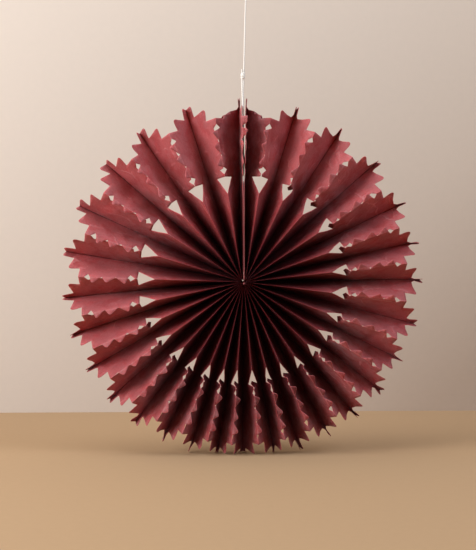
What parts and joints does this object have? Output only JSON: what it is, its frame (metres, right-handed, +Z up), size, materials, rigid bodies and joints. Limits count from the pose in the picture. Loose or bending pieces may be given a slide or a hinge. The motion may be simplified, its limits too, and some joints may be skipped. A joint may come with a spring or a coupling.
{
  "type": "paper fan rosette",
  "caption": "Round hanging decoration of accordion-folded die-cut paper, with a toothed rim, cut-out openings and a white string tied through its seam.",
  "frame": {"origin": "on the fan's axis through its hub, midway between the frontmost teeth and the folds at the back", "axes": "+Z up along the seam towards the string, -Y out of the front of the fan, +X to the viewer's right"},
  "size_m": [0.2994, 0.0394, 0.4165],
  "materials": {
    "paper": "burgundy paper, matt with a faint sheen",
    "string": "white twisted cotton string"
  },
  "bodies": {
    "root": {"pleated_paper": "paper", "hanging_string": "string", "string_knot": "string", "top_knot": "string", "top_loop": "string"}
  },
  "joints": []
}
